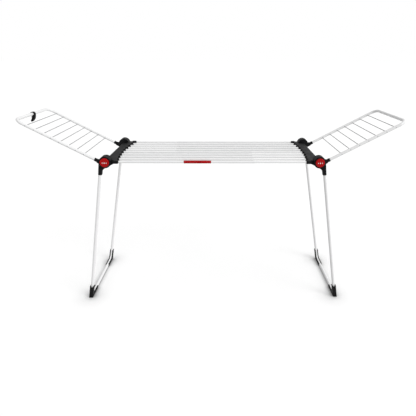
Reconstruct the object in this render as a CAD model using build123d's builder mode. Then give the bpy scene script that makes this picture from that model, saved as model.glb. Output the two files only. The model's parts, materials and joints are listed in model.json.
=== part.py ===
from build123d import *

import os
from math import atan, cos, radians, sin, sqrt

os.makedirs("parts", exist_ok=True)

# A winged clothes airer.  X runs along the table, Y across it (the front is -Y) and Z is up from
# the floor.  The table telescopes along X.  A wing and a leg frame hinge at each end of it, all
# four on the same two axes, which run along Y.

# ---- Driving dimensions, in millimetres and degrees ----

# Hinge axes
hub_spacing = 1264.0          # from the left hinge axis to the right one
hub_height = 950.0            # of both axes above the floor
hub_radius = 35.0             # of the round hinge plates
pin_radius = 6.0
pin_chamfer = 0.6
pin_cover = 2.5               # of a wing plate beyond a pin's inner end
running_gap = 0.3             # between faces that turn past each other
fit_gap = 0.05                # around a pin, and around a tube in its socket
blind_gap = 0.3               # beyond a pin's ends
rim_overlap = 0.1             # of an outline into the hinge plate that it joins

# Thicknesses across the table of what is stacked on a hinge pin
crossbar_plate_thickness = 12.4
leg_plate_thickness = 15.0
cap_thickness = 8.7

# Table rods
rod_count = 10
rod_span = 512.0              # from the first rod to the last one
rod_rise = 2.0                # of the rods above the hinge axes
rod_overhang = 8.3            # of the outermost rods outside the crossbar's hinge plates
outer_tube_radius = 7.0
table_tube_wall = 0.6
tube_play = 0.7               # between an inner tube and its outer tube
travel_in = 300.0             # of one end of the table towards the other
travel_out = 340.0
travel_margin = 5.0           # left between a mouth and the far crossbar, pushed in
least_overlap = 40.0          # of an inner tube inside its outer tube, pulled out
glide_clearance = 0.1
glide_length = 12.0
glide_plug_length = 15.0

# Crossbars
plate_floor = 0.8             # of the plate below its collars
plate_skin = 3.0
plate_outer_edge = 2.0        # outboard of the hinge axis
plate_edge_chamfer = 1.5
plate_mid_reach = 11.0        # of the inboard edge past the hinge plates' rims, halfway across
plate_end_reach = 35.0        # the same, at the ends
plate_notch_gap = 1.0         # around the wing hubs, inboard
plate_notch_side_gap = 1.5    # the same, to the side
pocket_margin = 6.0
collar_wall = 1.55
collar_taper = 1.2
collar_length = 30.0
collar_reach = 12.0           # past the plate's inboard edge
tooth_length = 8.0            # of the teeth that stiffen the collars, past the same edge
tooth_root_half_width = 21.0
tooth_overlap = 4.0           # of a tooth's root into the plate
leg_clearance = 18.0          # from a leg hub's rim to the plate's corner beyond the web
rod_insertion = 20.0          # of a rod in its collar
web_heel_angle = 42.0         # below the level, where a web leaves its hinge plate
web_knee_share = 0.62         # along a web, its middle
web_knee_drop = 11.5          # below the hinge axis
web_tip_drop = 5.0

# Wings
wing_angle = 28.3             # above the level
wing_inset = 11.0             # of a wing's plane inside the hinge plates' rims
wing_length = {-1: 550.0, 1: 544.0}       # from the hinge axis to the end bar's centre
wing_bend_radius = 45.0
wing_tube_radius = 9.0
wing_tube_wall = 0.8
wing_socket_wall = 1.5
wing_socket_reach = 29.0      # past the hinge plate's rim
wing_insertion = 34.0         # of the tube in its socket
wing_web_top = 45.0           # from the hinge axis, where the hub's web ends on its socket
wing_web_bottom = 32.0
wing_web_depth = 2.5          # of the web's lower corner beyond the socket
wire_radius = 2.25
wire_proud = 0.8              # of a wire's end outside the rail
wire_count = {-1: 8, 1: 7}
wire_first = {-1: 130.8, 1: 138.8}        # from the hinge axis to the first wire
wire_last_gap = {-1: 65.5, 1: 69.0}       # from the last wire to the end bar

# Legs
leg_splay = 10.4              # outwards from the vertical
leg_inset = 14.0              # of a leg frame's plane inside the hinge plates' rims
leg_tube_radius = 9.5
leg_tube_wall = 0.8
leg_bend_radius = 34.0
leg_socket_wall = 1.5
leg_socket_gap = 3.0          # from a leg plate's inner face to its socket's side
leg_socket_reach = 45.0       # past the hinge plate's rim
leg_insertion = 40.0          # of the tube in its socket
leg_flare_reach = 21.0        # past the rim, where a leg hub has narrowed to its socket
leg_flare_angle = 30.5        # from the leg to where its flare leaves the hinge plate
leg_flare_root_depth = 0.5    # inside the rim there
leg_flare_run = 14.0          # from the flare's end to its middle, along the leg
leg_flare_depth = 8.0         # the same, across it
leg_draw_in = 22.0            # of each leg towards the middle, from its socket to its bend
leg_draw_gap = 3.0            # from a socket's mouth to where its leg turns inwards

# Feet
foot_wall = 3.0               # of the flanks
foot_sole = 5.5               # from the tube to the foot's outer face, before the floor cut
foot_arm = 44.0               # up the leg from the bend
foot_bar_arm = 68.0           # along the base bar from the bend
foot_lip = 8.0                # of the flanks past the tube's centre, which they grip
foot_notch_depth = 12.0
foot_notch_margin = 1.0
base_bar_gap = 3.0            # from the floor to the base bar

# Hub caps
cap_inset = 8.8               # of a cap's rim inside the hinge plates' rims
cap_edge = 2.0
cap_band_height = 17.0        # of the shallow level band across a cap
cap_band_depth = 0.5

# Grip sleeve on the front rod
sleeve_start = -170.0         # from the table's middle
sleeve_length = 160.0
sleeve_wall = 1.6
sleeve_edge = 0.8
sleeve_groove_inset = 8.0     # from a sleeve's end to its first groove
sleeve_groove_width = 1.6
sleeve_groove_depth = 0.5
sleeve_groove_count = 4
sleeve_groove_pitch = 5.0

# Hook on the left wing's end bar
hook_wall = 4.0
hook_width = 16.0
hook_length = 48.0            # from the end bar's centre down to the hook's tip
hook_lean = 9.0               # of its tip away from the table
hook_back = 2.5               # of its back beyond its clip
hook_clearance = 0.1
hook_mouth_margin = 1.0
hook_mouth_top = 3.0          # below the end bar's centre

# ---- Values that follow ----

wing_drop = hub_radius - wing_inset       # of a wing's plane below the hinge axis
leg_offset = hub_radius - leg_inset       # of a leg frame's plane outboard of the hinge axis
wing_socket_radius = wing_tube_radius + wing_socket_wall
wing_socket_length = hub_radius + wing_socket_reach
wing_tube_start = wing_socket_length - wing_insertion
leg_socket_radius = leg_tube_radius + leg_socket_wall
leg_socket_length = hub_radius + leg_socket_reach
leg_tube_start = leg_socket_length - leg_insertion
leg_flare_end = hub_radius + leg_flare_reach
base_bar_height = leg_tube_radius + base_bar_gap
cap_radius = hub_radius - cap_inset
inner_tube_radius = outer_tube_radius - table_tube_wall - tube_play
collar_radius = outer_tube_radius + fit_gap + collar_wall
hook_outer_radius = wing_tube_radius + hook_wall

wing_run = cos(radians(wing_angle))
wing_climb = sin(radians(wing_angle))
leg_run = sin(radians(leg_splay))
leg_fall = cos(radians(leg_splay))

# The origin is under the middle of the whole length, and the left wing is the longer one.
left_reach = wing_length[-1] * wing_run + wing_drop * wing_climb + hook_outer_radius
right_reach = wing_length[1] * wing_run + wing_drop * wing_climb + wing_tube_radius
table_x = (left_reach - right_reach) / 2
hub_x = {-1: table_x - hub_spacing / 2, 1: table_x + hub_spacing / 2}

# Inner and outer faces of what is stacked on a hinge pin, as distances from the table's middle line
web_outer_y = rod_span / 2 - rod_overhang
crossbar_plate_y = (web_outer_y - crossbar_plate_thickness, web_outer_y)
wing_outer_y = crossbar_plate_y[0] - running_gap
wing_plate_y = (wing_outer_y - 2 * wing_socket_radius, wing_outer_y)
leg_inner_y = crossbar_plate_y[1] + running_gap
leg_plate_y = (leg_inner_y, leg_inner_y + leg_plate_thickness)
cap_inner_y = leg_plate_y[1] + running_gap
cap_y = (cap_inner_y, cap_inner_y + cap_thickness)
pin_y = (wing_plate_y[0] + pin_cover, cap_y[0] + cap_thickness / 2)
wing_half_width = sum(wing_plate_y) / 2
leg_half_width = leg_plate_y[0] + leg_socket_gap + leg_socket_radius

rod_pitch = rod_span / (rod_count - 1)
rod_y = [-rod_span / 2 + rod_pitch * i for i in range(rod_count)]
rod_z = hub_height + rod_rise
plate_top = rod_z + collar_radius
plate_thickness = 2 * collar_radius + plate_floor
plate_half_depth = rod_span / 2 + collar_radius
plate_mid_width = hub_radius + plate_mid_reach
plate_end_width = hub_radius + plate_end_reach
edge_sagitta = plate_end_width - plate_mid_width
edge_radius = (plate_half_depth**2 + edge_sagitta**2) / (2 * edge_sagitta)

# From the table's middle to the mouths of the outer tubes
mouth_offset = hub_spacing / 2 - plate_end_width - collar_reach - travel_in - travel_margin
tube_overlap = travel_out + least_overlap

leg_length = (hub_height + leg_offset * leg_run - base_bar_height) / leg_fall
leg_draw_start = leg_socket_length + leg_draw_gap
leg_foot_half_width = leg_half_width - leg_draw_in
leg_draw_slope = leg_draw_in / (leg_length - leg_draw_start)

side_name = {-1: "left", 1: "right"}
end_name = {-1: "front", 1: "rear"}


def write_piece(piece, label):
    piece.label = label
    export_step(piece, f"parts/{label}.step")


def plate_width(y):
    """Distance from the hinge axis to the crossbar's curved inboard edge at a place across it."""
    return plate_mid_width + edge_radius - sqrt(edge_radius**2 - y**2)


def end_range(end, span):
    """Lowest and highest Y of a span that is given by its distances from the middle."""
    return (span[0], span[1]) if end > 0 else (-span[1], -span[0])


def hinge_plane(side, y_span, along, across):
    """A plane square to a hinge axis, centred on it, whose extrusions fill y_span."""
    normal = Vector(*along).cross(Vector(*across))
    y = y_span[0] if normal.Y > 0 else y_span[1]
    return Plane(origin=(hub_x[side], y, hub_height), x_dir=along, z_dir=(0, normal.Y, 0))


def wing_directions(side):
    """Along a wing from its hinge, and from the hinge axis down to the wing's plane."""
    return (side * wing_run, 0, wing_climb), (side * wing_climb, 0, -wing_run)


def leg_directions(side):
    """Down a leg from its hinge, and from the hinge axis out to the leg frame's plane."""
    return (side * leg_run, 0, -leg_fall), (side * leg_fall, 0, leg_run)


def frame_plane(side, along, across, offset):
    """The plane of a bent frame, offset from the hinge axis, with Y as its second direction."""
    origin = Vector(hub_x[side], 0, hub_height) + Vector(*across) * offset
    return Plane(origin=origin, x_dir=along, z_dir=Vector(*along).cross(Vector(0, 1, 0)))


# ---- Table rods ----


def table_tube(label, y, x_start, x_end, radius):
    with BuildPart() as tube:
        with BuildSketch(Plane.YZ.offset(min(x_start, x_end))):
            with Locations((y, rod_z)):
                Circle(radius)
                Circle(radius - table_tube_wall, mode=Mode.SUBTRACT)
        extrude(amount=abs(x_end - x_start))
    write_piece(tube.part, label)


def rod_seat(side, y):
    """X of a rod's end inside its collar."""
    return hub_x[side] - side * (plate_width(y) + collar_reach - rod_insertion)


def outer_side(i):
    """The end that carries the outer tube of a rod: left for the front half, right for the rear."""
    return -1 if i < rod_count // 2 else 1


def inner_tube_tip(side):
    """X of the hidden end of the inner tubes that are fixed to this end of the table."""
    return table_x + side * (mouth_offset - tube_overlap)


for i, y in enumerate(rod_y):
    thick = outer_side(i)
    mouth = table_x - thick * mouth_offset
    table_tube(f"outer_tube_{i + 1}", y, rod_seat(thick, y), mouth, outer_tube_radius)
    table_tube(f"inner_tube_{i + 1}", y, rod_seat(-thick, y), inner_tube_tip(-thick), inner_tube_radius)


def tube_glides(side):
    """Plastic plugs in the hidden ends of the inner tubes, whose heads run in the outer tubes."""
    tip = inner_tube_tip(side)
    rows = [y for i, y in enumerate(rod_y) if outer_side(i) != side]
    head_radius = outer_tube_radius - table_tube_wall - glide_clearance
    plug_radius = inner_tube_radius - table_tube_wall - fit_gap
    with BuildPart() as glides:
        with BuildSketch(Plane.YZ.offset(tip)):
            with Locations(*[(y, rod_z) for y in rows]):
                Circle(head_radius)
        extrude(amount=-side * glide_length)
        with BuildSketch(Plane.YZ.offset(tip)):
            with Locations(*[(y, rod_z) for y in rows]):
                Circle(plug_radius)
        extrude(amount=side * glide_plug_length)
    write_piece(glides.part, f"{side_name[side]}_tube_glides")


# ---- Crossbars ----


def plate_outline(side):
    """The crossbar's plate from above: its inboard edge is a shallow arc, and its ends are notched for
    the wing hubs and cut back for the leg hubs."""
    def x_at(inboard):
        return hub_x[side] - side * inboard

    notch_y = wing_plate_y[0] - plate_notch_side_gap
    notch_x = x_at(hub_radius + plate_notch_gap)
    corner_x = x_at(hub_radius + leg_clearance)
    web_y = crossbar_plate_y[1]
    with BuildSketch() as outline:
        with BuildLine():
            Polyline(
                (x_at(plate_end_width), plate_half_depth),
                (corner_x, plate_half_depth),
                (corner_x, web_y),
                (notch_x, web_y),
                (notch_x, notch_y),
                (x_at(-plate_outer_edge), notch_y),
                (x_at(-plate_outer_edge), -notch_y),
                (notch_x, -notch_y),
                (notch_x, -web_y),
                (corner_x, -web_y),
                (corner_x, -plate_half_depth),
                (x_at(plate_end_width), -plate_half_depth),
            )
            ThreePointArc(
                (x_at(plate_end_width), -plate_half_depth),
                (x_at(plate_mid_width), 0),
                (x_at(plate_end_width), plate_half_depth),
            )
        make_face()
    return outline.sketch


def tooth_outline(side, y):
    """A tooth from above: it narrows from the plate's edge to its collar."""
    root = hub_x[side] - side * (plate_width(y) - tooth_overlap)
    tip = hub_x[side] - side * (plate_width(y) + tooth_length)
    low = max(y - tooth_root_half_width, -plate_half_depth)
    high = min(y + tooth_root_half_width, plate_half_depth)
    Polygon((root, low), (tip, y - collar_radius), (tip, y + collar_radius), (root, high), align=None)


def web_outline(side):
    """A round hinge plate from the side, with a web that curves out to the tip of the last collar."""
    def x_at(inboard):
        return hub_x[side] - side * inboard

    tip_reach = plate_end_width + collar_reach
    heel = (
        x_at(hub_radius * cos(radians(web_heel_angle))),
        hub_height - hub_radius * sin(radians(web_heel_angle)),
    )
    tip = (x_at(tip_reach), hub_height - web_tip_drop)
    with BuildSketch() as outline:
        with Locations((hub_x[side], hub_height)):
            Circle(hub_radius)
        with BuildLine():
            ThreePointArc(tip, (x_at(web_knee_share * tip_reach), hub_height - web_knee_drop), heel)
            Polyline(heel, (heel[0], plate_top), (x_at(plate_end_width), plate_top), tip)
        make_face()
    return outline.sketch


def crossbar(side):
    """The moulded end of the table: a pocketed plate, two round hinge plates and ten collars."""
    pocket_length = plate_mid_width + plate_outer_edge - 2 * pocket_margin
    pocket_x = hub_x[side] - side * (plate_mid_width - plate_outer_edge) / 2
    middles = [(a + b) / 2 for a, b in zip(rod_y[1:-2], rod_y[2:-1])]
    web_y = crossbar_plate_y[1]
    with BuildPart() as bar:
        with BuildSketch(Plane.XY.offset(plate_top)):
            add(plate_outline(side))
            for y in rod_y:
                tooth_outline(side, y)
        extrude(amount=-plate_thickness)
        top_edges = bar.edges().filter_by(Axis.Y).group_by(Axis.Z)[-1]
        chamfer(top_edges.sort_by(Axis.X)[-1 if side > 0 else 0], plate_edge_chamfer)
        # Pockets under the plate, between the rods
        with BuildSketch(Plane.XY.offset(plate_top - plate_thickness)):
            with Locations(*[(pocket_x, y) for y in middles]):
                Rectangle(pocket_length, rod_pitch - 2 * pocket_margin)
        extrude(amount=plate_thickness - plate_skin, mode=Mode.SUBTRACT)
        for end in (-1, 1):
            low, high = end_range(end, crossbar_plate_y)
            with BuildSketch(Plane.XZ.offset(-high)):
                add(web_outline(side))
            extrude(amount=high - low)
        for y in rod_y:
            tip = hub_x[side] - side * (plate_width(y) + collar_reach)
            room = plate_width(y) + collar_reach - hub_radius - leg_clearance
            reach = room if abs(y) > web_y else collar_length
            with BuildSketch(Plane(origin=(tip + side * reach, y, rod_z), z_dir=(-side, 0, 0))):
                Circle(collar_radius)
            extrude(amount=reach, taper=collar_taper)
        for i, y in enumerate(rod_y):
            radius = outer_tube_radius if outer_side(i) == side else inner_tube_radius
            tip = hub_x[side] - side * (plate_width(y) + collar_reach)
            with BuildSketch(Plane(origin=(tip, y, rod_z), z_dir=(side, 0, 0))):
                Circle(radius + fit_gap)
            extrude(amount=rod_insertion + fit_gap, mode=Mode.SUBTRACT)
        # Bores for the hinge pins
        with BuildSketch(Plane.XZ.offset(-web_y)):
            with Locations((hub_x[side], hub_height)):
                Circle(pin_radius + fit_gap)
        extrude(amount=2 * web_y, mode=Mode.SUBTRACT)
    write_piece(bar.part, f"{side_name[side]}_crossbar")


def hinge_pins(side):
    with BuildPart() as pins:
        for end in (-1, 1):
            low, high = end_range(end, pin_y)
            with BuildSketch(Plane.XZ.offset(-high)):
                with Locations((hub_x[side], hub_height)):
                    Circle(pin_radius)
            extrude(amount=high - low)
        chamfer(pins.edges().filter_by(GeomType.CIRCLE), pin_chamfer)
    write_piece(pins.part, f"{side_name[side]}_hinge_pins")


def hub_caps(side):
    """Domed round caps on the outer ends of the hinge pins, with a shallow level band across."""
    with BuildPart() as caps:
        for end in (-1, 1):
            outward = Plane(
                origin=(hub_x[side], end * cap_y[0], hub_height), x_dir=(1, 0, 0), z_dir=(0, end, 0)
            )
            with BuildSketch(outward):
                Circle(cap_radius)
            extrude(amount=cap_thickness)
            rim = caps.faces().filter_by(Axis.Y).sort_by(Axis.Y)[-1 if end > 0 else 0]
            fillet(rim.outer_wire().edges(), cap_edge)
            with BuildSketch(outward.offset(cap_thickness - cap_band_depth)):
                Circle(cap_radius - 2 * cap_edge)
                Rectangle(2 * cap_radius, cap_band_height, mode=Mode.INTERSECT)
            extrude(amount=cap_band_depth, mode=Mode.SUBTRACT)
            with BuildSketch(outward):
                Circle(pin_radius + fit_gap)
            extrude(amount=pin_y[1] - cap_y[0] + blind_gap, mode=Mode.SUBTRACT)
    write_piece(caps.part, f"{side_name[side]}_hub_caps")


def grip_sleeve():
    """A gripping sleeve on the front rod, with a few grooves round each end."""
    bore_radius = outer_tube_radius + fit_gap
    radius = outer_tube_radius + sleeve_wall
    start = table_x + sleeve_start
    with BuildPart() as sleeve:
        with BuildSketch(Plane.YZ.offset(start)):
            with Locations((rod_y[0], rod_z)):
                Circle(radius)
        extrude(amount=sleeve_length)
        fillet(sleeve.edges().filter_by(GeomType.CIRCLE), sleeve_edge)
        for k in range(sleeve_groove_count):
            inset = sleeve_groove_inset + sleeve_groove_pitch * k
            for x in (start + inset, start + sleeve_length - inset - sleeve_groove_width):
                with BuildSketch(Plane.YZ.offset(x)):
                    with Locations((rod_y[0], rod_z)):
                        Circle(radius)
                        Circle(radius - sleeve_groove_depth, mode=Mode.SUBTRACT)
                extrude(amount=sleeve_groove_width, mode=Mode.SUBTRACT)
        with BuildSketch(Plane.YZ.offset(start)):
            with Locations((rod_y[0], rod_z)):
                Circle(bore_radius)
        extrude(amount=sleeve_length, mode=Mode.SUBTRACT)
    write_piece(sleeve.part, "grip_sleeve")


# ---- Bent tube frames ----


def bent_tube(plane, rail, bend_radius, radius, wall):
    """A U of round tube. The rail gives its corners from an open end to the bar, each by its distance
    along the frame and from the middle."""
    corners = [(along, -across) for along, across in rail]
    corners += [(along, across) for along, across in reversed(rail)]
    with BuildPart() as tube:
        with BuildLine(plane) as path:
            FilletPolyline(*corners, radius=bend_radius)
        with BuildSketch(Plane(origin=path.line @ 0, z_dir=path.line % 0)):
            Circle(radius)
            Circle(radius - wall, mode=Mode.SUBTRACT)
        sweep()
    return tube


def wire_places(side):
    """Distances of a wing's wires from its hinge axis."""
    pitch = (wing_length[side] - wire_first[side] - wire_last_gap[side]) / (wire_count[side] - 1)
    return [wire_first[side] + pitch * i for i in range(wire_count[side])]


def wing_frame(side):
    """The wing's bent tube, drilled through both rails for its wires."""
    along, across = wing_directions(side)
    plane = frame_plane(side, along, across, wing_drop)
    rail = [(wing_tube_start, wing_half_width), (wing_length[side], wing_half_width)]
    tube = bent_tube(plane, rail, wing_bend_radius, wing_tube_radius, wing_tube_wall)
    drill = wing_half_width + 2 * wing_tube_radius
    with BuildPart() as frame:
        add(tube.part)
        with BuildSketch(hinge_plane(side, (-drill, drill), along, across)):
            with Locations(*[(s, wing_drop) for s in wire_places(side)]):
                Circle(wire_radius + fit_gap)
        extrude(amount=2 * drill, mode=Mode.SUBTRACT)
    write_piece(frame.part, f"{side_name[side]}_wing_frame")


def wing_wires(side):
    along, across = wing_directions(side)
    reach = wing_half_width + wing_tube_radius + wire_proud
    for n, s in enumerate(wire_places(side)):
        with BuildPart() as wire:
            with BuildSketch(hinge_plane(side, (-reach, reach), along, across)):
                with Locations((s, wing_drop)):
                    Circle(wire_radius)
            extrude(amount=2 * reach)
        write_piece(wire.part, f"{side_name[side]}_wing_wire_{n + 1}")


def wing_socket(side, end):
    """A round hinge plate with a tube socket that leaves its lower side."""
    along, across = wing_directions(side)
    plate = end_range(end, wing_plate_y)
    bore = end_range(end, (pin_y[0] - blind_gap, wing_plate_y[1]))
    plane = frame_plane(side, along, across, wing_drop)
    with BuildPart() as socket:
        with BuildSketch(hinge_plane(side, plate, along, across)):
            Circle(hub_radius)
            Polygon(
                (0, hub_radius - rim_overlap),
                (wing_web_top, wing_drop + wing_socket_radius),
                (wing_web_top, wing_drop - wing_socket_radius),
                (wing_web_bottom, wing_drop - wing_socket_radius - wing_web_depth),
                (0, 0),
                align=None,
            )
        extrude(amount=plate[1] - plate[0])
        mouth = plane.from_local_coords((wing_socket_length, end * wing_half_width))
        with BuildSketch(Plane(origin=mouth, z_dir=-Vector(*along))):
            Circle(wing_socket_radius)
        extrude(amount=wing_socket_length - wing_tube_start)
        with BuildSketch(Plane(origin=mouth, z_dir=-Vector(*along))):
            Circle(wing_tube_radius + fit_gap)
        extrude(amount=wing_socket_length - wing_tube_start + fit_gap, mode=Mode.SUBTRACT)
        with BuildSketch(hinge_plane(side, bore, along, across)):
            Circle(pin_radius + fit_gap)
        extrude(amount=bore[1] - bore[0], mode=Mode.SUBTRACT)
    write_piece(socket.part, f"{side_name[side]}_wing_{end_name[end]}_socket")


def hook():
    """A clip over the middle of the left wing's end bar, with a leg that hangs down and a tooth on its
    outer side, under the clip's mouth."""
    along, across = wing_directions(-1)
    bar = frame_plane(-1, along, across, wing_drop).from_local_coords((wing_length[-1], 0))
    plane = Plane(origin=(bar.X, hook_width / 2, bar.Z), x_dir=(1, 0, 0), z_dir=(0, -1, 0))
    back = hook_outer_radius + hook_back
    inside = wing_tube_radius + hook_clearance
    with BuildPart() as clip:
        with BuildSketch(plane):
            Circle(hook_outer_radius)
            with BuildLine():
                Polyline((0, 0), (0, hook_outer_radius), (hook_wall, hook_outer_radius))
                ThreePointArc(
                    (hook_wall, hook_outer_radius),
                    (0.9 * back, 0.55 * hook_outer_radius),
                    (back, -0.1 * hook_length),
                )
                Spline(
                    (back, -0.1 * hook_length),
                    (0.8 * back - 0.5 * hook_lean, -0.68 * hook_length),
                    (-hook_lean, -hook_length),
                    tangents=[(0, -1), (-1, -0.5)],
                )
                Polyline(
                    (-hook_lean, -hook_length),
                    (-0.65 * inside - hook_lean, -0.97 * hook_length),
                    (-0.9 * inside - 0.85 * hook_lean, -0.85 * hook_length),
                    (-0.3 * inside - 0.3 * hook_lean, -0.5 * hook_length),
                    (-0.95 * inside, -0.37 * hook_length),
                    (-0.3 * inside, -0.27 * hook_length),
                    (0, 0),
                )
            make_face()
            Circle(inside, mode=Mode.SUBTRACT)
            Polygon(
                (-hook_outer_radius - hook_mouth_margin, -hook_mouth_top),
                (0, 0),
                (-0.3 * inside, -0.27 * hook_length),
                (-hook_outer_radius - hook_mouth_margin, -0.27 * hook_length),
                align=None,
                mode=Mode.SUBTRACT,
            )
        extrude(amount=hook_width)
    write_piece(clip.part, "wing_hook")


# ---- Legs ----


def leg_reach(distance):
    """Distance from the middle to a leg's centre line, below its socket."""
    return leg_foot_half_width + (leg_length - distance) * leg_draw_slope


def leg_frame(side):
    along, across = leg_directions(side)
    plane = frame_plane(side, along, across, leg_offset)
    rail = [
        (leg_tube_start, leg_half_width),
        (leg_draw_start, leg_half_width),
        (leg_length, leg_foot_half_width),
    ]
    tube = bent_tube(plane, rail, leg_bend_radius, leg_tube_radius, leg_tube_wall)
    write_piece(tube.part, f"{side_name[side]}_leg_frame")


def leg_socket(side, end):
    """A round hinge plate that flares into the socket of a leg."""
    along, across = leg_directions(side)
    plate = end_range(end, leg_plate_y)
    plane = frame_plane(side, along, across, leg_offset)
    outer = leg_offset + leg_socket_radius
    inner = leg_offset - leg_socket_radius
    root_radius = hub_radius - leg_flare_root_depth
    flare_root = (root_radius * cos(radians(leg_flare_angle)), -root_radius * sin(radians(leg_flare_angle)))
    with BuildPart() as socket:
        with BuildSketch(hinge_plane(side, plate, along, across)):
            Circle(hub_radius)
            with BuildLine():
                Polyline(
                    flare_root,
                    (0, 0),
                    (0, hub_radius - rim_overlap),
                    (leg_socket_length, outer),
                    (leg_socket_length, inner),
                    (leg_flare_end, inner),
                )
                ThreePointArc(
                    (leg_flare_end, inner),
                    (leg_flare_end - leg_flare_run, inner - leg_flare_depth),
                    flare_root,
                )
            make_face()
        extrude(amount=plate[1] - plate[0])
        mouth = plane.from_local_coords((leg_socket_length, end * leg_half_width))
        with BuildSketch(Plane(origin=mouth, z_dir=-Vector(*along))):
            Circle(leg_socket_radius)
        extrude(amount=leg_socket_length - leg_tube_start + fit_gap + leg_socket_wall)
        with BuildSketch(Plane(origin=mouth, z_dir=-Vector(*along))):
            Circle(leg_tube_radius + fit_gap)
        extrude(amount=leg_socket_length - leg_tube_start + fit_gap, mode=Mode.SUBTRACT)
        with BuildSketch(hinge_plane(side, plate, along, across)):
            Circle(pin_radius + fit_gap)
        extrude(amount=plate[1] - plate[0], mode=Mode.SUBTRACT)
    write_piece(socket.part, f"{side_name[side]}_leg_{end_name[end]}_socket")


def feet(side):
    """Two clips that grip the outside of a leg frame's bends, squared at the corner and cut level with
    the floor."""
    along, across = leg_directions(side)
    plane = frame_plane(side, along, across, leg_offset)
    seat_radius = leg_tube_radius + fit_gap
    half_width = leg_tube_radius + foot_wall
    outer = leg_tube_radius + foot_sole
    outer_across = outer / cos(atan(leg_draw_slope))
    bend_start = leg_length - leg_bend_radius
    bend_reach = leg_reach(bend_start) - leg_bend_radius / cos(atan(leg_draw_slope))
    top = bend_start - foot_arm
    with BuildPart() as pair:
        for end in (-1, 1):
            with BuildLine(plane) as path:
                FilletPolyline(
                    (top, end * leg_reach(top)),
                    (leg_length, end * leg_foot_half_width),
                    (leg_length, end * (bend_reach - foot_bar_arm)),
                    radius=leg_bend_radius,
                )
            with BuildSketch(Plane(origin=path.line @ 0, x_dir=(0, end, 0), z_dir=path.line % 0)):
                with Locations(((outer - foot_lip) / 2, 0)):
                    Rectangle(outer + foot_lip, 2 * half_width)
                Circle(seat_radius, mode=Mode.SUBTRACT)
            sweep()
            # The corner outside the bend
            with BuildSketch(plane):
                Polygon(
                    (bend_start, end * bend_reach),
                    (bend_start, end * (leg_reach(bend_start) + outer_across)),
                    (leg_length + outer, end * (leg_reach(leg_length + outer) + outer_across)),
                    (leg_length + outer, end * bend_reach),
                    align=None,
                )
                with Locations((bend_start, end * bend_reach)):
                    Circle(leg_bend_radius + leg_tube_radius + foot_sole / 2, mode=Mode.SUBTRACT)
            extrude(amount=half_width, both=True)
        # A notch in the outer wall where each leg enters
        with BuildSketch(Plane(origin=plane.from_local_coords((top, 0)), x_dir=along, z_dir=(0, 1, 0))):
            Polygon(
                (-foot_notch_margin, leg_tube_radius),
                (foot_notch_depth, 0),
                (-foot_notch_margin, -leg_tube_radius),
                align=None,
            )
        extrude(amount=2 * leg_half_width, both=True, mode=Mode.SUBTRACT)
        split(bisect_by=Plane.XY, keep=Keep.TOP)
    write_piece(pair.part, f"{side_name[side]}_feet")


for side in (-1, 1):
    crossbar(side)
    tube_glides(side)
    hinge_pins(side)
    hub_caps(side)
    wing_frame(side)
    wing_wires(side)
    leg_frame(side)
    feet(side)
    for end in (-1, 1):
        wing_socket(side, end)
        leg_socket(side, end)
grip_sleeve()
hook()
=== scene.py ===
import json
import math

import bpy
from mathutils import Matrix, Vector


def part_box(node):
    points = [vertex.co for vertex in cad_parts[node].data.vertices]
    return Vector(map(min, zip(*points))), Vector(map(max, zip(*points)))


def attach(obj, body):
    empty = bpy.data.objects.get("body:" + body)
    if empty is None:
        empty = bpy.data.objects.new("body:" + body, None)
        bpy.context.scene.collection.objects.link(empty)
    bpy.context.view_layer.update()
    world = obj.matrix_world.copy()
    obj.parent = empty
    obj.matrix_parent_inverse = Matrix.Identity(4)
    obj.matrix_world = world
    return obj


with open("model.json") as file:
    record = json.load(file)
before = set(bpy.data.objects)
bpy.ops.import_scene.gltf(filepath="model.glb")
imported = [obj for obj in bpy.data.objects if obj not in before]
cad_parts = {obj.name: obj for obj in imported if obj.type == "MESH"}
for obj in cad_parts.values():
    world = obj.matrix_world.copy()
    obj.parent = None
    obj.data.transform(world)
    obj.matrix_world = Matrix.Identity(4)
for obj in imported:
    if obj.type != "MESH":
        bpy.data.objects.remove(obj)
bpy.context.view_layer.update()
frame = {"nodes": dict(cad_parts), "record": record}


# ---- Node helpers ----
# Textures lie in object coordinates, in metres: a noise's scale is in features per metre.


def new_material(name, values):
    """A material with a Principled shader that has the values, and what is needed to add nodes to it."""
    material = bpy.data.materials.new(name)
    material.use_nodes = True
    tree = material.node_tree
    shader = tree.nodes["Principled BSDF"]
    for socket, value in values.items():
        shader.inputs[socket].default_value = value
    return material, tree, shader


def object_coordinates(tree, scale=(1, 1, 1)):
    """Places on the object. A scale below 1 draws a texture out along that axis."""
    coordinates = tree.nodes.new("ShaderNodeTexCoord")
    mapping = tree.nodes.new("ShaderNodeMapping")
    mapping.inputs["Scale"].default_value = scale
    tree.links.new(coordinates.outputs["Object"], mapping.inputs["Vector"])
    return mapping.outputs["Vector"]


def noise(tree, vector, scale, detail=2.0):
    node = tree.nodes.new("ShaderNodeTexNoise")
    node.inputs["Scale"].default_value = scale
    node.inputs["Detail"].default_value = detail
    tree.links.new(vector, node.inputs["Vector"])
    return node.outputs["Fac"]


def to_range(tree, value, low_in, high_in, low_out, high_out):
    node = tree.nodes.new("ShaderNodeMapRange")
    numbers = {"From Min": low_in, "From Max": high_in, "To Min": low_out, "To Max": high_out}
    for name, number in numbers.items():
        node.inputs[name].default_value = number
    tree.links.new(value, node.inputs["Value"])
    return node.outputs["Result"]


def spread_noise(tree, cloud, lowest, highest, low_in=0.3, high_in=0.7):
    """Spreads the middle of a noise's range, where nearly all of it lies, from lowest to highest."""
    return to_range(tree, cloud, low_in, high_in, lowest, highest)


def blend_colours(tree, factor, first, second):
    """A colour that goes from first to second with the factor."""
    node = tree.nodes.new("ShaderNodeMix")
    node.data_type = "RGBA"
    node.inputs["A"].default_value = (*first, 1)
    node.inputs["B"].default_value = (*second, 1)
    tree.links.new(factor, node.inputs["Factor"])
    return node.outputs["Result"]


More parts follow.
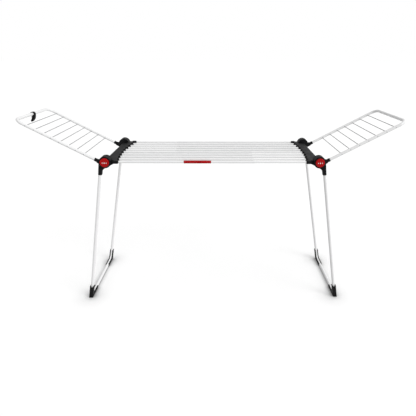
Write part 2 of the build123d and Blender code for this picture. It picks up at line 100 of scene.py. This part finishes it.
def mottle(tree, shader, cloud, darkest, lightest):
    """Lets the base colour drift between two colours."""
    share = spread_noise(tree, cloud, 0, 1)
    tree.links.new(blend_colours(tree, share, darkest, lightest), shader.inputs["Base Color"])


def vary_roughness(tree, shader, cloud, smoothest, roughest, low_in=0.3):
    roughness = spread_noise(tree, cloud, smoothest, roughest, low_in)
    tree.links.new(roughness, shader.inputs["Roughness"])


def add_bump(tree, shader, height, strength, distance):
    """Adds a bump, with its distance in metres, on top of any that the shader has already."""
    node = tree.nodes.new("ShaderNodeBump")
    node.inputs["Strength"].default_value = strength
    node.inputs["Distance"].default_value = distance
    tree.links.new(height, node.inputs["Height"])
    normal = shader.inputs["Normal"]
    if normal.is_linked:
        tree.links.new(normal.links[0].from_socket, node.inputs["Normal"])
    tree.links.new(node.outputs["Normal"], normal)


# ---- Materials ----


def white_coat(name, sliding=False):
    """Epoxy powder coat on steel: an orange-peel skin, faint mottling, and on the inner tubes the fine
    lengthwise marks that sliding leaves."""
    material, tree, shader = new_material(name, {"Coat Weight": 0.25, "Coat Roughness": 0.12})
    vector = object_coordinates(tree)
    patches = noise(tree, vector, scale=22.0, detail=3.0)
    mottle(tree, shader, patches, (0.85, 0.852, 0.857), (0.885, 0.886, 0.886))
    peel = noise(tree, vector, scale=620.0, detail=1.5)
    add_bump(tree, shader, peel, strength=0.22, distance=0.0004)
    grain = noise(tree, vector, scale=2400.0, detail=1.0)
    add_bump(tree, shader, grain, strength=0.08, distance=0.0001)
    if sliding:
        marks = noise(tree, object_coordinates(tree, (0.02, 1, 1)), scale=1500.0)
        add_bump(tree, shader, marks, strength=0.15, distance=0.0001)
        vary_roughness(tree, shader, marks, 0.24, 0.42, low_in=0.35)
    else:
        vary_roughness(tree, shader, noise(tree, vector, scale=60.0), 0.28, 0.4)
    return material


def grey_wire():
    """Thin grey coated wire, with faint drawing marks under the coat."""
    material, tree, shader = new_material("grey_wire", {})
    vector = object_coordinates(tree)
    cloud = noise(tree, vector, scale=50.0, detail=3.0)
    mottle(tree, shader, cloud, (0.31, 0.312, 0.32), (0.39, 0.392, 0.4))
    drawn = noise(tree, object_coordinates(tree, (1, 0.01, 1)), scale=1800.0)
    vary_roughness(tree, shader, drawn, 0.32, 0.5)
    add_bump(tree, shader, drawn, strength=0.2, distance=0.0001)
    coat = noise(tree, vector, scale=900.0, detail=1.5)
    add_bump(tree, shader, coat, strength=0.15, distance=0.0002)
    return material


def black_plastic():
    """Moulded black polypropylene with a fine spark-eroded grain."""
    material, tree, shader = new_material("black_moulding", {"Specular IOR Level": 0.1})
    vector = object_coordinates(tree)
    cloud = noise(tree, vector, scale=35.0, detail=3.0)
    mottle(tree, shader, cloud, (0.004, 0.004, 0.0045), (0.008, 0.008, 0.009))
    vary_roughness(tree, shader, cloud, 0.42, 0.56)
    grain = noise(tree, vector, scale=1300.0)
    add_bump(tree, shader, grain, strength=0.35, distance=0.00025)
    return material


def red_plastic():
    """Moulded red plastic, smoother than the black."""
    material, tree, shader = new_material("red_moulding", {"Specular IOR Level": 0.12})
    vector = object_coordinates(tree)
    cloud = noise(tree, vector, scale=40.0)
    mottle(tree, shader, cloud, (0.38, 0.0012, 0.0025), (0.45, 0.002, 0.0035))
    vary_roughness(tree, shader, cloud, 0.24, 0.36)
    grain = noise(tree, vector, scale=1500.0)
    add_bump(tree, shader, grain, strength=0.15, distance=0.0002)
    return material


def turned_steel():
    """Bare steel, with the fine rings that turning leaves."""
    values = {"Base Color": (0.6, 0.6, 0.6, 1), "Metallic": 1.0}
    material, tree, shader = new_material("turned_steel", values)
    rings = noise(tree, object_coordinates(tree, (1, 0.05, 1)), scale=900.0)
    vary_roughness(tree, shader, rings, 0.2, 0.42)
    add_bump(tree, shader, rings, strength=0.1, distance=0.0001)
    return material


def natural_plastic():
    """Uncoloured plastic, slightly cloudy."""
    material, tree, shader = new_material("natural_plastic", {"Roughness": 0.5})
    vector = object_coordinates(tree)
    cloud = noise(tree, vector, scale=60.0)
    colour = blend_colours(tree, cloud, (0.76, 0.76, 0.72), (0.84, 0.84, 0.82))
    tree.links.new(colour, shader.inputs["Base Color"])
    add_bump(tree, shader, noise(tree, vector, scale=1400.0), strength=0.1, distance=0.0001)
    return material


def dress_frame():
    """Gives each CAD node the finish of its material slot."""
    finishes = {
        "white_coated_steel": white_coat("white_coat"),
        "grey_wire": grey_wire(),
        "black_plastic": black_plastic(),
        "red_plastic": red_plastic(),
        "pin_steel": turned_steel(),
        "glide_plastic": natural_plastic(),
    }
    sliding = white_coat("white_coat_inner_tube", sliding=True)
    slots = {row["node"]: row["material_slot"] for row in frame["record"]["subparts"]}
    for name, node in frame["nodes"].items():
        finish = sliding if name.startswith("inner_tube") else finishes[slots[name]]
        for place in node.material_slots:
            place.material = finish
    return finishes


finishes = dress_frame()


# ---- Marks ----


def add_inlay(name, rings, body, slot):
    """A low raised piece from rings of points, each joined to the next, with the last ring filled."""
    count = len(rings[0])
    last = (len(rings) - 1) * count
    faces = [tuple(range(last, last + count))]
    for first in range(0, last, count):
        for k in range(count):
            follow = (k + 1) % count
            faces.append((first + k, first + follow, first + count + follow, first + count + k))
    mesh = bpy.data.meshes.new(name)
    mesh.from_pydata([point for ring in rings for point in ring], [], faces)
    mesh.materials.append(finishes[slot])
    piece = bpy.data.objects.new(name, mesh)
    bpy.context.scene.collection.objects.link(piece)
    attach(piece, body)


def rounded_power(value, power):
    """The value raised to the power, with its sign kept."""
    return math.copysign(abs(value) ** power, value)


def drop_outline(size):
    """A water drop with its point up, as (sideways, up) pairs about its middle, anticlockwise."""
    points = 40
    half_width = 0.36 * size
    taper = 1.6                 # how soon the drop narrows towards its point
    outline = []
    for k in range(points):
        angle = 2 * math.pi * k / points
        sideways = -half_width * math.sin(angle) * math.sin(angle / 2) ** taper
        outline.append((sideways, size / 2 * math.cos(angle)))
    return outline


def cap_drops():
    """Three drops of white plastic let into the level band of each front cap."""
    drop_sizes = (0.0085, 0.0115, 0.0085)
    pitch = 0.0115
    band_depth = 0.0005
    root = 0.0002               # inside the band's face
    height = 0.0004
    edge_height = 0.6 * height
    top_share = 0.93            # of the outline's size, so that the edge is bevelled
    for side in ("left", "right"):
        low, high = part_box(f"{side}_hub_caps")
        middle_x = (low[0] + high[0]) / 2
        middle_z = (low[2] + high[2]) / 2
        band_y = low[1] + band_depth
        for k, size in enumerate(drop_sizes):
            centre_x = middle_x + (k - 1) * pitch
            rings = []
            for share, out in ((1.0, -root), (1.0, edge_height), (top_share, height)):
                rings.append([
                    (centre_x + share * sideways, band_y - out, middle_z + share * up)
                    for sideways, up in drop_outline(size)
                ])
            add_inlay(f"{side}_cap_drop_{k + 1}", rings, f"{side}_end", "glide_plastic")


def sleeve_dashes():
    """A row of slim black dashes let into the front of the grip sleeve."""
    dash_lengths = (0.006, 0.011, 0.006, 0.011, 0.006)
    pitch = 0.0155
    root = 0.0003               # inside the sleeve's face
    height = 0.00025
    edge_height = 0.00015
    top_share = 0.9             # of the outline's size, so that the edge is bevelled
    points = 32
    squareness = 0.4            # of a dash's outline: 1 is an ellipse, and less is squarer
    facing = math.radians(17)   # above the level, towards the front
    half_turn = math.radians(9)
    low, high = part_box("grip_sleeve")
    middle_x = (low[0] + high[0]) / 2
    axis_y = (low[1] + high[1]) / 2
    axis_z = (low[2] + high[2]) / 2
    radius = (high[1] - low[1]) / 2
    for k, length in enumerate(dash_lengths):
        centre_x = middle_x + (k - 2) * pitch
        rings = []
        for share, rise in ((1.0, -root), (1.0, edge_height), (top_share, height)):
            ring = []
            for j in range(points):
                angle = 2 * math.pi * j / points
                along = share * length / 2 * rounded_power(math.cos(angle), squareness)
                turn = facing + share * half_turn * rounded_power(math.sin(angle), squareness)
                reach = radius + rise
                y = axis_y - reach * math.cos(turn)
                z = axis_z + reach * math.sin(turn)
                ring.append((centre_x + along, y, z))
            rings.append(ring)
        add_inlay(f"sleeve_dash_{k + 1}", rings, "left_end", "black_plastic")


cap_drops()
sleeve_dashes()


# ---- Stage, light and camera ----


def studio_world():
    """White to the eye all round. As a light it is brightest high on the right and darkest low on the
    left, so that white tubes keep their shape."""
    white = (1, 1, 1, 1)
    brightest = Vector((0.75, -0.2, 0.6)).normalized()
    world = bpy.data.worlds.new("studio")
    bpy.context.scene.world = world
    world.use_nodes = True
    tree = world.node_tree
    tree.nodes.clear()
    output = tree.nodes.new("ShaderNodeOutputWorld")
    mix = tree.nodes.new("ShaderNodeMixShader")
    path = tree.nodes.new("ShaderNodeLightPath")
    seen = tree.nodes.new("ShaderNodeBackground")
    seen.inputs["Color"].default_value = white
    light = tree.nodes.new("ShaderNodeBackground")
    light.inputs["Color"].default_value = white
    coordinates = tree.nodes.new("ShaderNodeTexCoord")
    along = tree.nodes.new("ShaderNodeVectorMath")
    along.operation = "DOT_PRODUCT"
    along.inputs[1].default_value = brightest
    tree.links.new(coordinates.outputs["Generated"], along.inputs[0])
    facing = along.outputs["Value"]
    strength = to_range(tree, facing, low_in=-0.7, high_in=0.8, low_out=0.36, high_out=1.02)
    tree.links.new(strength, light.inputs["Strength"])
    tree.links.new(path.outputs["Is Camera Ray"], mix.inputs[0])
    tree.links.new(light.outputs[0], mix.inputs[1])
    tree.links.new(seen.outputs[0], mix.inputs[2])
    tree.links.new(mix.outputs[0], output.inputs[0])


def floor():
    """A pale floor that shows soft painted contact shadows and throws no light back up."""
    size = 60.0                 # half a side, in metres
    shadow_reach = 0.12         # metres from what stands on the floor
    shadow_colour = (0.32, 0.32, 0.32)
    open_colour = (0.95, 0.95, 0.95)
    mesh = bpy.data.meshes.new("floor")
    mesh.from_pydata(
        [(-size, -size, 0), (size, -size, 0), (size, size, 0), (-size, size, 0)], [], [(0, 1, 2, 3)]
    )
    sheet = bpy.data.objects.new("floor", mesh)
    bpy.context.scene.collection.objects.link(sheet)
    sheet.visible_diffuse = False
    material, tree, shader = new_material("pale_floor", {
        "Roughness": 0.9,
        "Specular IOR Level": 0.0,
        "Emission Color": (1, 1, 1, 1),
        "Emission Strength": 0.12,
    })
    # Painted contact shadow: the floor's colour darkens where ambient occlusion finds something close
    # by.
    contact = tree.nodes.new("ShaderNodeAmbientOcclusion")
    contact.inputs["Distance"].default_value = shadow_reach
    openness = to_range(tree, contact.outputs["AO"], low_in=0.45, high_in=1.0, low_out=0, high_out=1)
    colour = blend_colours(tree, openness, shadow_colour, open_colour)
    tree.links.new(colour, shader.inputs["Base Color"])
    mesh.materials.append(material)


def key_light():
    """A distant soft light from above, on the right and in front."""
    towards = Vector((-0.8, 0.6, -0.6))
    data = bpy.data.lights.new("key", "SUN")
    data.energy = 0.8
    data.angle = math.radians(30)
    light = bpy.data.objects.new("key", data)
    light.rotation_euler = towards.to_track_quat("-Z", "Y").to_euler()
    bpy.context.scene.collection.objects.link(light)


def camera():
    """The photograph's view. Its centre lies a little off the picture's middle, hence the shift."""
    place = (0.0406, -2.3717, 1.5601)
    pitch = math.radians(20.86)
    turn = math.radians(-0.88)
    roll = math.radians(0.32)
    data = bpy.data.cameras.new("camera")
    data.sensor_width = 36.0
    data.lens = 32.27
    data.shift_x = -0.039
    data.shift_y = -0.0348
    data.clip_end = 200.0
    eye = bpy.data.objects.new("camera", data)
    rotation = Matrix.Rotation(turn, 4, "Z") @ Matrix.Rotation(math.pi / 2 - pitch, 4, "X")
    eye.matrix_world = Matrix.Translation(place) @ rotation @ Matrix.Rotation(roll, 4, "Z")
    bpy.context.scene.collection.objects.link(eye)
    bpy.context.scene.camera = eye


bpy.context.scene.view_settings.view_transform = "Standard"
studio_world()
floor()
key_light()
camera()
